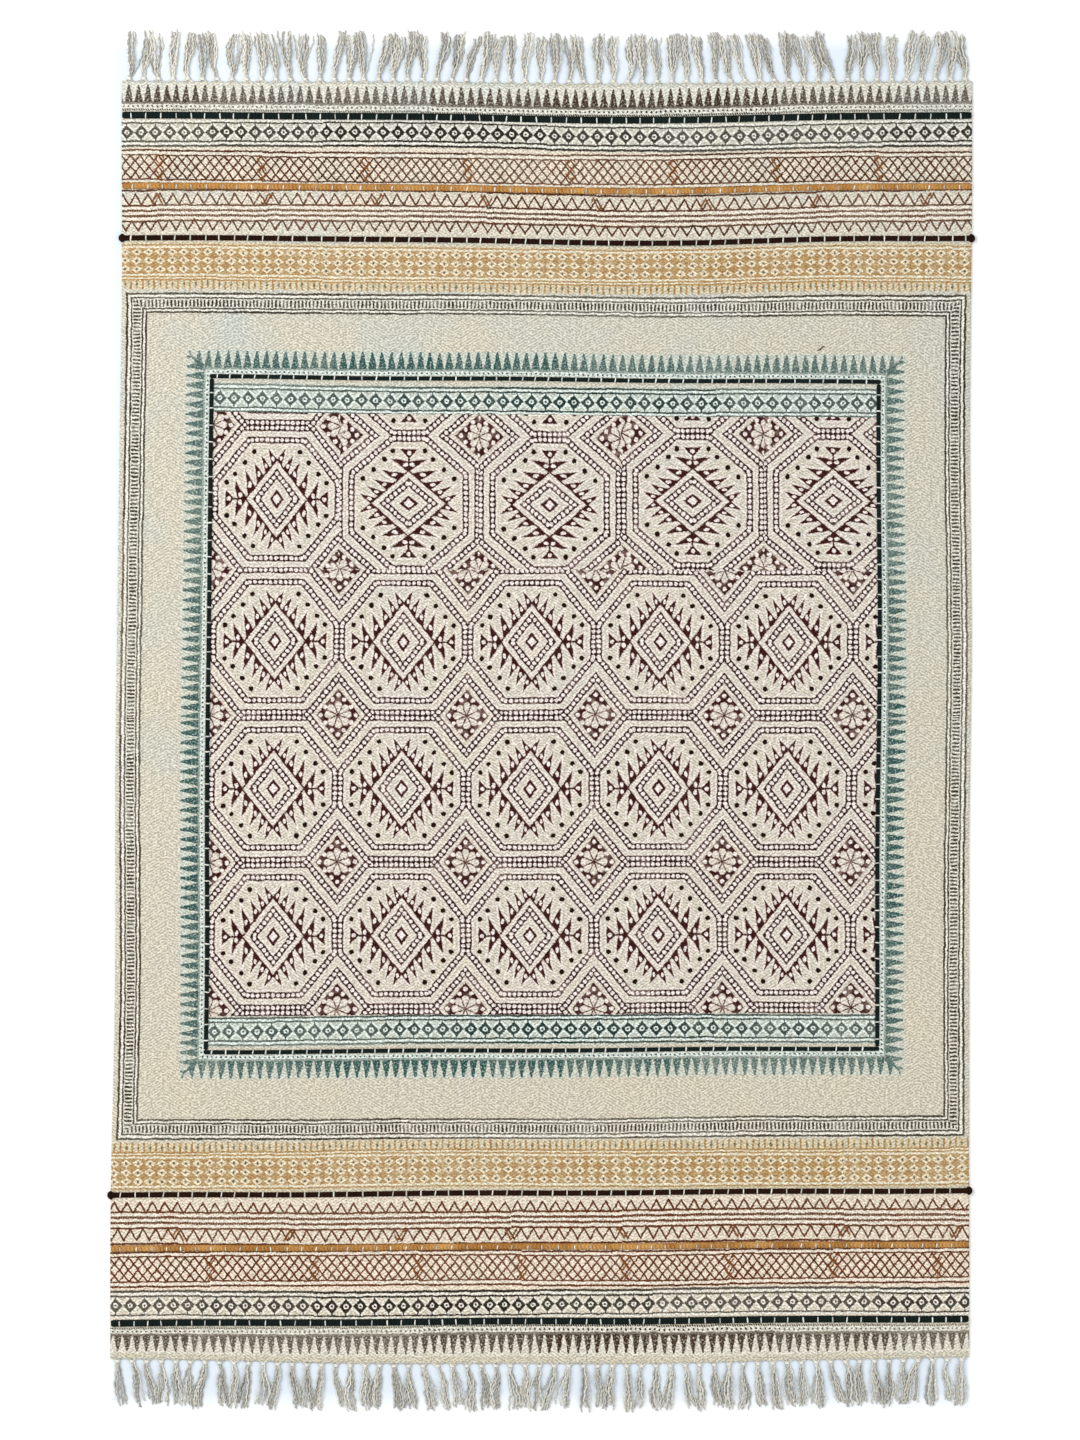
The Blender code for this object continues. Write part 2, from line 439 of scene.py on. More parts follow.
class Surface:
    """A new material on the cloth, with its places in mm and the randomness that all its inks share."""

    def __init__(self, name):
        self.material, self.tree, self.shader = new_material(name)
        u, v = mapped_places(self.tree, "Print")
        self.cloth_u = u * 1000.0
        self.cloth_v = v * 1000.0
        self.bumps = self.weave_bumps()
        ragged = self.noise(2.4, 3.0, 1.0) - 0.5
        self.u = self.cloth_u + (self.noise(14.0, 3.0) - 0.5) * 1.2 + ragged * 1.0
        self.v = self.cloth_v + (self.noise(14.0, 8.0) - 0.5) * 1.2 - ragged * 1.0
        self.patch = self.noise(38.0, 5.0)
        self.speck = self.noise(2.3, 11.0, 1.0)

    def noise(self, size, seed, detail=2.0):
        return noise(self.tree, self.cloth_u, self.cloth_v, (size, size), seed, detail)

    def weave_bumps(self):
        """The height of the weave, from 0 to 1: a twill that turns back on itself, in uneven yarn. It also
        darkens the cloth's colour in its low places, as painted shade.
        """
        u, v = self.cloth_u, self.cloth_v
        slant = v + u.folded(HERRINGBONE_HALF) * TWILL_SLOPE
        twill = (slant * (2 * math.pi / TWILL_PITCH)).sine()
        grain = noise(self.tree, u, v, (3.2, 2.3), 29.0, 1.0)
        slub = noise(self.tree, u, v, (9.0, 2.4), 31.0, 1.0)
        return (twill * 0.30 + grain * 1.20 + slub * 0.45).math("ADD", -0.32, clamp=True)

    def worn(self, mask, wear=0.3, grain=0.3):
        """A printed mask that is paler in some patches and broken up by the weave."""
        patch = self.patch.scaled(-wear, 1.0)
        speck = self.speck.scaled(-grain, 1.0)
        thick = mask * patch * speck
        return thick * (2.0 - thick)

    def depth(self, far, near):
        """How far out along the rug a place is, in mm. far and near are how much too near the middle each end
        was printed."""
        return abs(self.v) + self.v.above(0.0).choose(far, near)

    def joined(self, run, block, half_width):
        """Where two printing blocks of a band overlap."""
        return inside(run.folded(block / 2) - half_width, 2.0)

    def stamped(self, run, block, seed):
        """How far each printing block of a band sits off the last, in mm, and how dark it printed."""
        number = (run / block).math("FLOOR")
        offset = number.scaled(7.31, seed).sine() * 1.3
        strength = number.scaled(5.17, seed).sine().scaled(0.14, 0.86)
        return offset, strength


def ground_colour(surface):
    """Unprinted cotton with faint cool and warm patches."""
    tree = surface.tree
    nearness = surface.cloth_v.scaled(-1 / 1800.0, 0.5)
    cool = surface.noise(130.0, 17.0, 3.0) - nearness
    warm = surface.noise(80.0, 23.0, 3.0) * 0.5 + nearness * 0.5
    colour = mixed(tree, cool.clamped(), CREAM, COOL_CREAM)
    return mixed(tree, warm, colour, WARM_CREAM)


def printed_cotton(name, draw):
    """A cotton material with a print. draw gives (mask, screen colour) layers, from the lowest up."""
    surface = Surface(name)
    colour = ground_colour(surface)
    for mask, ink in draw(surface):
        colour = mixed(surface.tree, mask, colour, ink)
    tree, shader = surface.tree, surface.shader
    # The weave's height also scales the colour: painted shade in the weave's low places, together with uneven
    # yarn tone from the grain and slubs.
    add_tint(tree, shader, colour, surface.bumps.scaled(0.62, 0.69))
    add_relief(tree, shader, surface.bumps, 0.6, 0.0008)
    make_matt(shader, 0.92, 0.08)
    return surface.material


def tooth_row(surface, run, depth, pitch, base, tip, half_width):
    """A row of tall, speckled triangles from a base line to their tips."""
    rise = ((depth - base) / (tip - base)).clamped()
    flank = run.folded(pitch / 2) - (1.0 - rise.math("POWER", 1.15) * 0.82) * half_width
    mask = inside(flank.highest(base - depth).highest(depth - tip), 0.9)
    broken = surface.noise(2.6, 41.0, 1.0).scaled(1.5, 0.28, clamp=True)
    return mask * broken.highest(rise * 3.0 - 2.1)


def diamond_row(run, depth, pitch, half_wide, half_high, stem):
    """A row of diamonds tied by stems, with pale rings and dark centres. Returns its ink and pale masks."""
    a = run.folded(pitch / 2)
    b = abs(depth)
    scale = half_wide * half_high / math.hypot(half_wide, half_high)
    edge = (a / half_wide + b / half_high - 1.0) * scale
    centre = length(a, b)
    ring = inside(centre - 3.6) * (1.0 - inside(centre - 1.4))
    post = inside(a.highest(b - stem) - 0.8)
    return union(inside(edge), post) * (1.0 - ring), union(between(edge, 0.6, 3.2), ring)


def beaded_strip(run, depth, at, radius):
    """A row of beads along a strip."""
    return inside(length(run.folded(STRIP_BEADS), depth - at) - radius)


def draw_tooth_band(surface):
    """The outermost band: tall taupe teeth that point to the fringe, over a beaded strip."""
    offset, strength = surface.stamped(surface.u, 164.0, 2.0)
    depth = surface.depth(0.0, -2.2) + offset
    teeth = tooth_row(surface, surface.u, depth, 13.4, 864.4, 888.6, 5.7)
    footing = between(depth, 862.0, 866.0, 1.4) * 0.6
    strip = between(depth, 855.0, 862.2)
    beads = beaded_strip(surface.u, depth, 858.8, 1.5)
    hatch = line(depth, 853.9, 2.6) * (surface.cloth_u * 1.9 + surface.cloth_v).sine().above(-0.4)
    return [
        (union(strip * 0.5, between(depth, 864.0, 892.0, 2.0) * 0.35), PAPER),
        (surface.worn(union(teeth, footing) * strength, 0.1, 0.2), TOOTH_INK),
        (union(beads, hatch) * strength, SOOT),
    ]


def crossed_lines(u, depth):
    """A lattice of slanting lines."""
    across, out = u / LATTICE_WIDE, depth / LATTICE_HIGH
    crossing = (across + out).folded(0.5).lowest((across - out).folded(0.5))
    return inside(crossing * LATTICE_SLANT - 1.05)


def near_share(surface):
    """1 at the near end of the rug and 0 at the far end."""
    return 1.0 - surface.cloth_v.above(0.0)


def fine_hatch(surface):
    """Fine slanting strokes."""
    return (surface.cloth_u - surface.cloth_v).sine().above(0.2)


def brown_ink(surface, ink, strength, wear, grain, seed):
    """Layers of brown ink on peach, redder in patches and at the near end."""
    redder = surface.noise(60.0, seed) * 0.4 + near_share(surface) * 0.35
    return [
        (ink * 0.7, TAN),
        (surface.worn(ink * strength, wear, grain), LATTICE_INK),
        (surface.worn(ink, 0.1, 0.2) * redder, BRICK),
    ]


def draw_lattice_band(surface):
    """Between the green and mustard cords: ringed diamonds, rules and a brown lattice on a peach ground."""
    offset, strength = surface.stamped(surface.u, 158.0, 0.0)
    depth = surface.depth(1.4, -0.8) + offset
    ink, halo = diamond_row(surface.u + 130.0, depth - 825.4, 20.1, 9.8, 10.2, 12.0)
    hatch = between(depth, 814.5, 837.5) * fine_hatch(surface)
    rules = lines(depth, (838.6, 2.0), (812.8, 2.6), (806.3, 3.2))
    pale = union(lines(depth, (841.6, 2.8), (809.6, 3.0)), halo)

    near = near_share(surface)
    low_run = surface.u + near * 58.0 - 33.0
    low_offset, low_strength = surface.stamped(low_run, 145.0, 4.0)
    low = surface.depth(2.7, 0.0) + low_offset
    rows = between(low, 759.4, 793.0)
    lattice = crossed_lines(surface.u, low - 768.2) * rows
    doubled = crossed_lines(surface.u + 5.0, low - 764.0) * rows * surface.joined(low_run, 145.0, 6.5)
    brown = union(lines(low, (799.5, 2.5), (793.0, 1.8), (758.8, 2.0), (752.8, 2.4)), lattice)
    ground = between(depth, 740.0, 804.3, 2.0) * (surface.noise(45.0, 57.0) * 0.4 + near * 0.3 + 0.4)
    return [
        (union(ground, near * 0.35), PEACH),
        (hatch * 0.12, SOOT),
        (pale * 0.7, PAPER),
        (lines(low, (796.2, 2.8), (755.9, 2.2)) * 0.35, PAPER),
        *brown_ink(surface, brown, low_strength, 0.2, 0.25, 51.0),
        (surface.worn(doubled, 0.1, 0.2), JOINT_BROWN),
        (surface.worn(union(ink, rules) * strength, 0.1, 0.2), SOOT),
    ]


def draw_zigzag_band(surface):
    """Between the mustard and brown cords: two rows of zigzags with dotted rules between them."""
    near = near_share(surface)
    run = surface.u - near * 45.0 - 70.0
    offset, strength = surface.stamped(run, 155.0, 1.0)
    depth = surface.depth(0.4, 0.0) + offset
    in_from = ZIGZAG_FROM - depth
    slant = ZIGZAG_HALF / math.hypot(ZIGZAG_HALF, 15.0)
    rise = surface.u.folded(ZIGZAG_HALF) * (ZIGZAG_HIGH / ZIGZAG_HALF)
    outer = abs(in_from - rise) * slant
    inner = abs(depth - 685.6 - (surface.u - 4.0).folded(ZIGZAG_HALF) * (14.6 / ZIGZAG_HALF)) * slant
    outer_row = between(depth, 721.0, 739.0)
    inner_row = between(depth, 684.0, 701.0)
    dotted = (surface.cloth_u * 1.9).sine().scaled(0.4, 0.9, clamp=True)
    ink = union(
        inside(outer - 1.15) * outer_row,
        inside(inner - 1.15) * inner_row,
        lines(depth, (721.0, 2.5), (699.0, 2.4), (742.2, 2.8)),
        lines(depth, (713.6, 3.1), (706.4, 3.3)) * dotted,
    )
    shifted = (surface.u + 5.0).folded(ZIGZAG_HALF) * (ZIGZAG_HIGH / ZIGZAG_HALF)
    doubled = inside(abs(in_from - shifted) * slant - 1.3) * outer_row * surface.joined(run, 155.0, 8.0)
    tint = union(between(depth, 698.5, 722.0, 2.0) * 0.7, near * 0.3 + 0.3)
    filled = inside(rise - in_from) * between(depth, 721.0, 738.0)
    pale = lines(depth, (717.4, 2.8), (710.3, 2.8), (703.4, 2.8))
    beside = union(between(outer, 1.6, 3.4), between(inner, 1.6, 3.4))
    return [
        (union(tint, filled * 0.6), PEACH),
        (union(pale, beside * 0.5) * 0.4, PAPER),
        *brown_ink(surface, ink, strength, 0.25, 0.3, 53.0),
        (surface.worn(doubled, 0.1, 0.2), JOINT_BROWN),
    ]


def draw_ochre_band(surface):
    """Inside the brown cord: rows of pale diamonds on ochre, and a comb whose teeth point to the middle."""
    offset, strength = surface.stamped(surface.u + 20.0, 148.0, 3.0)
    depth = surface.depth(2.3, 0.6) + offset * 0.8
    half_wide, half_high = OCHRE_PLACES
    a = (surface.u - 5.6).folded(half_wide)
    b = (depth - 643.6).folded(half_high)
    diamond = (a / 7.2 + b / 5.3 - 1.0) * 4.3
    spot = inside(length(a, b) - 1.5)
    field = between(depth, 624.6, 661.4)
    rows = between(depth, 625.6, 661.6)
    rules = lines(depth, (665.8, 1.9), (620.4, 2.0), (616.2, 2.2)) * 0.9
    bars = line((surface.u + 2.8).folded(half_wide), 0.0, 2.6) * between(depth, 602.6, 616.0)
    short_bars = line(a, 0.0, 2.3) * between(depth, 604.0, 616.0)
    comb_spots = inside(length(a, depth - 610.0) - 2.0)
    pale = lines(depth, (662.9, 2.4), (623.2, 2.2), (618.3, 1.6))
    deeper = surface.noise(13.0, 61.0)
    return [
        (between(depth, 603.0, 671.0, 3.0) * 0.6, BUTTER),
        (surface.worn(field * strength, 0.3, 0.4) * 0.9, OCHRE),
        (surface.worn(field, 0.1, 0.2) * deeper * 0.45, RUST),
        (inside(diamond - 0.2) * rows * 0.85, HONEY_PAPER),
        (between(diamond, -3.0, -1.6) * rows * 0.5, OCHRE),
        (pale * 0.6, HONEY_PAPER),
        (surface.worn(union(rules, bars, short_bars) * strength, 0.25, 0.25), OCHRE),
        (surface.worn(union(rules, bars), 0.2, 0.3) * deeper * 0.6, RUST),
        (surface.worn(union(spot * rows, comb_spots * 0.5), 0.2, 0.2), OLIVE),
    ]


def draw_ladder(surface):
    """A frame of rules with short bars between them, around the whole middle of the rug."""
    side = abs(surface.u) - 565.2
    end = surface.depth(4.2, 0.8) - 571.9
    run = side.above(end).choose(surface.v, surface.u)
    offset, strength = surface.stamped(run + 30.0, 152.0, 5.0)
    depth = side.highest(end) + offset * 0.6
    rules = lines(depth, (0.7, 2.8), (5.8, 2.1), (21.2, 2.1), (27.4, 2.9))
    bars = line(run.folded(BAR_HALF), 0.0, 2.7) * between(depth, 8.4, 18.6)
    pale = union(lines(depth, (3.2, 2.2), (24.3, 2.8)), between(depth, 7.2, 20.0) * 0.6)
    faint = surface.noise(24.0, 67.0).scaled(0.9, 0.55, clamp=True)
    return [
        (pale * 0.75, PAPER),
        (surface.worn(rules * strength, 0.25, 0.3), LADDER_INK),
        (surface.worn(bars * faint, 0.2, 0.25), LADDER_INK),
    ]


# The tooth at each corner of the panel's border: how far out it stands, and how fast it widens from its tip.
CORNER_FOOT = 18.0
CORNER_TIP = 46.0
CORNER_SPREAD = 0.15


def draw_panel_border(surface):
    """Around the field: teal teeth that point outward, a beaded strip, and teal diamonds inside the ends."""
    side = abs(surface.u) - 471.0
    end = surface.depth(0.0, -0.4) - 475.2
    run = side.above(end).choose(surface.v, surface.u)
    offset, strength = surface.stamped(run - 30.0, 160.0, 6.0)
    depth = side.highest(end) + offset * 0.5
    teeth = tooth_row(surface, run, depth, 13.6, 12.4, 37.0, 5.9)
    out = (side + end) * math.sqrt(0.5)
    aside = abs(side - end) * math.sqrt(0.5)
    corner_tooth = inside((aside - (CORNER_TIP - out) * CORNER_SPREAD).highest(CORNER_FOOT - out), 0.9)
    footing = union(between(depth, 9.8, 13.6, 1.4) * 0.4, corner_tooth * 0.9)
    strip = between(depth, 4.0, 10.0)
    beads = beaded_strip(run, depth, 6.9, 1.3)

    row_offset, row_strength = surface.stamped(surface.u + 66.0, 154.0, 8.0)
    row = surface.depth(2.0, 0.0) + row_offset * 0.7
    inner = inside(side) * inside(end + 2.0)
    ink, halo = diamond_row(surface.u - 0.7, row - 445.7, 20.0, 9.6, 10.2, 12.0)
    outer_rule = line(row, 464.8, 2.8) * row_strength
    rules = union(outer_rule, lines(row, (458.8, 2.4), (432.4, 2.4), (426.9, 2.7)))
    pale = union(lines(row, (461.8, 2.4), (429.7, 2.6)), halo)
    hatch = between(row, 434.0, 457.5) * inner * fine_hatch(surface)
    tinted = union(between(depth, 2.0, 38.0, 3.0) * 0.4, between(row, 425.0, 468.0, 2.0) * inner * 0.45)
    return [
        (tinted, MIST_GROUND),
        (strip * 0.6, MIST),
        (hatch * 0.16, TEAL),
        (pale * inner * 0.75, MIST),
        (surface.worn(union(teeth, footing) * strength, 0.2, 0.2), TEAL),
        (surface.worn(beads, 0.3), DEEP_TEAL),
        (surface.worn(union(ink, rules) * inner * row_strength, 0.25, 0.2), DEEP_TEAL),
    ]


# ------------ the field's block

HALF_BLOCK = (90.2, 103.4)
FIELD_MIDDLE = (-17.4, 105.0)
CORNER_DIAMOND = (43.7, 53.6)
OCTAGON_LEVEL = 1.565
OCTAGON_TOP = 82.6
OCTAGON_SIDE = 86.5
CROSS_CHAIN = 99.7
FLOWER = (30.5, 37.0)
FLOWER_BEADS = ((0.0, 28.0), (8.2, 21.5), (18.0, 10.8), (25.0, 0.0))
MOTIF_LINE = (43.7, 55.0)
MOTIF_CHAIN = (27.9, 35.7)
MOTIF_HEART = (9.9, 13.4)
HEART_HOLE = (6.2, 7.4)
CHAIN_HALF = 4.5
BEAD_HALF_PITCH = 3.55
BEAD = 2.85
FIRST_THORN = -0.9
LAST_THORN = 4
THORN_HALF_PITCH = 9.2
THORN_FOOT = 7.0
THORN_BEAD = 3.0

# How thorns change with the distance from a side tip, as (rate, start). Further from it they crowd, lean more
# and get shorter, with their beads closer to the line.
SIDE_RUN = 0.92
CROWDED_RUN = (1.28, -14.4)
BEAD_OUT = (-0.05, 9.2)
THORN_LEAN = (0.012, 0.45)
MOST_LEAN = 0.63
THORN_LENGTH = (-0.13, 29.0)

HOOK_FROM = 59.5
HOOK_TO = 72.2
HOOK_BEAD_AT = 67.4
DOTS = ((70.2, 23.2), (58.8, 35.2), (45.0, 51.0), (32.6, 66.0))
DOT = 3.5
FLOWER_BEAD = 3.1
PETAL_OUT = 14.0
PETAL_GAP = 0.8
PETAL_SLOPE = math.tan(math.pi / 8)

# The far row is another printing. Its first block stands as the others do, and the rest are turned a quarter.
FAR_ROW_FROM = 206.8
FIRST_FAR_BLOCK = (-377.5, 303.4)
FarBlock = namedtuple("FarBlock", "starts middle_u middle_v")
TURNED_BLOCKS = (
    FarBlock(-289.0, -191.5, 299.5),
    FarBlock(-93.5, 7.2, 297.9),
    FarBlock(108.0, 208.8, 305.5),
    FarBlock(309.5, 407.0, 306.0),
)
TURNED_HALF = 95.2
TURNED_SCALE = (0.975, 1.055)


def block_place(surface):
    """The place inside the nearest printed block, in mm from the block's middle."""
    u, v = surface.u, surface.v
    far = v.above(FAR_ROW_FROM)
    turned = u.above(TURNED_BLOCKS[0].starts)
    middle_u, middle_v = FIRST_FAR_BLOCK
    last = FIRST_FAR_BLOCK
    for block in TURNED_BLOCKS:
        passed = u.above(block.starts)
        middle_u = passed * (block.middle_u - last[0]) + middle_u
        middle_v = passed * (block.middle_v - last[1]) + middle_v
        last = (block.middle_u, block.middle_v)
    far_u = u - middle_u
    far_v = v - middle_v
    turned_x = far_v.wrapped(TURNED_HALF) / TURNED_SCALE[1]
    turned_y = far_u / TURNED_SCALE[0]
    plain_x = (u - FIELD_MIDDLE[0]).wrapped(HALF_BLOCK[0])
    plain_y = (v - FIELD_MIDDLE[1]).wrapped(HALF_BLOCK[1])
    x = far.choose(turned.choose(turned_x, far_u), plain_x)
    y = far.choose(turned.choose(turned_y, far_v.wrapped(HALF_BLOCK[1])), plain_y)
    return abs(x), abs(y)


def diamond(a, b, size):
    """How far a place is from a diamond's edge, and how far along it. size is half its width and height."""
    wide, high = size
    diagonal = math.hypot(wide, high)
    level = a / wide + b / high
    depth = (level - 1.0) * (wide * high / diagonal)
    along = b * (high / diagonal) - a * (wide / diagonal)
    return depth, along


def nearest(first, second):
    """Of two (distance, place along) pairs, the one whose distance is the smaller."""
    closer = abs(first[0]).above(abs(second[0]))
    return closer.choose(second[0], first[0]), closer.choose(second[1], first[1])


def beaded_chains(x, y, corner_x, corner_y):
    """The block's beaded chains: the octagon, the corner diamond, the cross rule and the motif's own."""
    corner, corner_along = diamond(corner_x, corner_y, CORNER_DIAMOND)
    scale = CORNER_DIAMOND[0] * CORNER_DIAMOND[1] / math.hypot(*CORNER_DIAMOND)
    slant = (OCTAGON_LEVEL - 1.0) * scale - corner
    top = y - OCTAGON_TOP
    side = x - OCTAGON_SIDE
    octagon = slant.highest(top).highest(side)
    on_slant = slant.above(top.highest(side))
    octagon_along = on_slant.choose(corner_along, top.above(side).choose(x, y))
    cross = (y - CROSS_CHAIN) + corner.above(CHAIN_HALF).choose(0.0, 100.0)
    depth, along = nearest((octagon, octagon_along), (corner, corner_along))
    depth, along = nearest((depth, along), (cross, x))
    depth, along = nearest((depth, along), diamond(x, y, MOTIF_CHAIN))
    bead = length(depth, along.folded(BEAD_HALF_PITCH)) - BEAD
    strip = abs(depth) - CHAIN_HALF
    return strip.highest(-bead), union(inside(bead), between(strip, 0.6, 3.0) * 0.6)


def thorned_diamond(x, y):
    """The motif: a line diamond with beaded thorns, a hooked end at each side and a small heart."""
    depth, along = diamond(x, y, MOTIF_LINE)
    from_tip = along + MOTIF_LINE[0] * MOTIF_LINE[0] / math.hypot(*MOTIF_LINE)
    crowded = (from_tip * SIDE_RUN).highest(from_tip.scaled(*CROWDED_RUN))
    bead_at = from_tip.scaled(*BEAD_OUT)
    lean = from_tip.scaled(*THORN_LEAN).lowest(MOST_LEAN)
    leaned = crowded - FIRST_THORN - (depth - bead_at) * lean
    across = leaned.folded(THORN_HALF_PITCH)
    beyond = (-THORN_HALF_PITCH - leaned).highest(leaned - (2 * LAST_THORN + 1) * THORN_HALF_PITCH)
    left = 1.0 - depth / from_tip.scaled(*THORN_LENGTH)
    flank = (across - left * THORN_FOOT) * 0.8
    thorn = flank.highest(-depth).highest(beyond)
    bead = (length(across, depth - bead_at) - THORN_BEAD).highest(beyond)
    rule = abs(depth) - 1.0
    hook = (y - (x - HOOK_FROM) * 0.96).highest(x - HOOK_TO).highest(HOOK_FROM - x)
    bridge = (y - 1.2).highest(x - HOOK_FROM - 0.5).highest(MOTIF_LINE[0] + 0.3 - x)
    hook_bead = length(x - HOOK_BEAD_AT, y) - THORN_BEAD
    heart, _ = diamond(x, y, MOTIF_HEART)
    heart_hole, _ = diamond(x, y, HEART_HOLE)
    solid = thorn.lowest(hook).lowest(bridge).lowest(rule).lowest(heart)
    holes = bead.lowest(hook_bead).lowest(heart_hole)
    return solid.highest(-holes), union(inside(holes), between(solid, 0.7, 3.0) * 0.6)


def corner_flower(corner_x, corner_y):
    """A dark diamond where four blocks meet. Eight paddle-shaped petals and a ring of beads are left pale."""
    edge, _ = diamond(corner_x, corner_y, FLOWER)
    radius = length(corner_x, corner_y)
    angle = corner_y.math("ARCTAN2", corner_x).folded(math.pi / 8)
    out = radius * angle.math("COSINE")
    aside = radius * angle.sine()
    widest = PETAL_OUT * PETAL_SLOPE - PETAL_GAP
    blade = (aside - (out * PETAL_SLOPE - PETAL_GAP)).highest(out - PETAL_OUT)
    petal = blade.lowest(length(out - PETAL_OUT, aside) - widest)
    bead = from_nearest(corner_x, corner_y, FLOWER_BEADS) - FLOWER_BEAD
    return edge.highest(-petal.lowest(bead)), union(inside(bead), inside(petal + 1.0) * 0.4)


def draw_field(surface):
    """The maroon block print of the field."""
    x, y = block_place(surface)
    corner_x = abs(HALF_BLOCK[0] - x)
    corner_y = abs(HALF_BLOCK[1] - y)
    chains, chain_beads = beaded_chains(x, y, corner_x, corner_y)
    motif, motif_beads = thorned_diamond(x, y)
    flower, flower_beads = corner_flower(corner_x, corner_y)
    patchy = surface.noise(14.0, 83.0).scaled(0.9, 0.45, clamp=True)
    figures = union(inside(motif + 0.15), inside(flower + 0.15) * patchy)
    faint = surface.noise(40.0, 73.0, 3.0).scaled(0.9, 0.56, clamp=True)
    warmth = surface.noise(90.0, 79.0).scaled(0.5, 0.5)
    return [
        (warmth * 0.6, FIELD_WARMTH),
        (union(chain_beads, motif_beads, flower_beads), BEAD_PAPER),
        (inside(chains.lowest(motif).lowest(flower) - 0.3, 1.2) * 0.55, BLEED),
        (surface.worn(inside(chains + 0.15) * faint, 0.1, 0.2), UMBER),
        (surface.worn(figures, 0.1, 0.2), MAROON),
        (inside(from_nearest(x, y, DOTS) - DOT), UMBER),
    ]


def draw_nothing(surface):
    return []


# Every print, by the part of the cloth that it is on. The cloth's materials come in this order.
DRAWS = {
    "field": draw_field,
    "panel": draw_panel_border,
    "plain": draw_nothing,
    "ladder": draw_ladder,
    "ochre": draw_ochre_band,
    "zigzag": draw_zigzag_band,
    "lattice": draw_lattice_band,
    "tooth": draw_tooth_band,
    "back": draw_nothing,
}
ZONES = tuple(DRAWS)


# ------------ meshes and objects


def add_object(name, data):
    """A new object in the scene."""
    made = bpy.data.objects.new(name, data)
    bpy.context.scene.collection.objects.link(made)
    return made


def smooth_mesh(name, points, faces):
    """A mesh with smooth shading."""
    mesh = bpy.data.meshes.new(name)
    mesh.from_pydata(points, [], faces)
    mesh.polygons.foreach_set("use_smooth", [True] * len(faces))
    return mesh


def map_places(mesh, uv_map, places):
    """Keeps a pair of places for every corner of every face."""
    mesh.uv_layers.new(name=uv_map).data.foreach_set("uv", np.array(places, dtype=np.float32).ravel())


def keep_shades(mesh, shades):
    """Keeps a shade for every point, for the material to read."""
    layer = mesh.attributes.new("Shade", "FLOAT", "POINT")
    layer.data.foreach_set("value", np.array(shades, dtype=np.float32))


# ------------ the cloth

CELL = 0.008
BACK_STRIP = 0.05
BACK_GAP = 0.01
FIELD_SIDE = 0.4690
FIELD_END = 0.4250
PANEL_SIDE = 0.5095
PANEL_END = 0.5140
LADDER_SIDE = 0.5635
LADDER_END = 0.5655
ROUND_EDGE = CLOTH_THICKNESS / 2

# The prints across the ends, from the outermost in, and how far from the middle each starts.
END_PRINTS = (("tooth", 0.8515), ("lattice", 0.7475), ("zigzag", 0.6742), ("ochre", 0.6000))


def zone(u, v):
    """Which print a place on the cloth holds, from its distance to the middle of the print."""
    u, v = abs(u), abs(printed(v))
    for name, starts in END_PRINTS:
        if v > starts:
            return name
    if v > LADDER_END or u > LADDER_SIDE:
        return "ladder"
    if v < FIELD_END and u < FIELD_SIDE:
        return "field"
    if v < PANEL_END and u < PANEL_SIDE:
        return "panel"
    return "plain"


def grid_lines(edge, borders):
    """Places from -edge to edge, at most a cell apart. They hold every border and round off the edges."""
    stops = {-edge, edge}
    stops |= {sign * (edge - ROUND_EDGE * share) for sign in (-1, 1) for share in (0.12, 0.45, 1.0)}
    stops |= {round(border, 6) for border in borders if abs(border) < edge}
    stops = sorted(stops)
    places = []
    for low, high in zip(stops, stops[1:]):
        steps = max(1, math.ceil((high - low) / CELL - 0.01))
        places += [low + (high - low) * step / steps for step in range(steps)]
    return places + [stops[-1]]


def rounded(place, edge):
    """The share of its thickness that the cloth keeps near its rounded edge."""
    left = ROUND_EDGE - (edge - abs(place))
    return 1.0 if left <= 0 else math.sqrt(max(0.0, 1 - (left / ROUND_EDGE) ** 2))


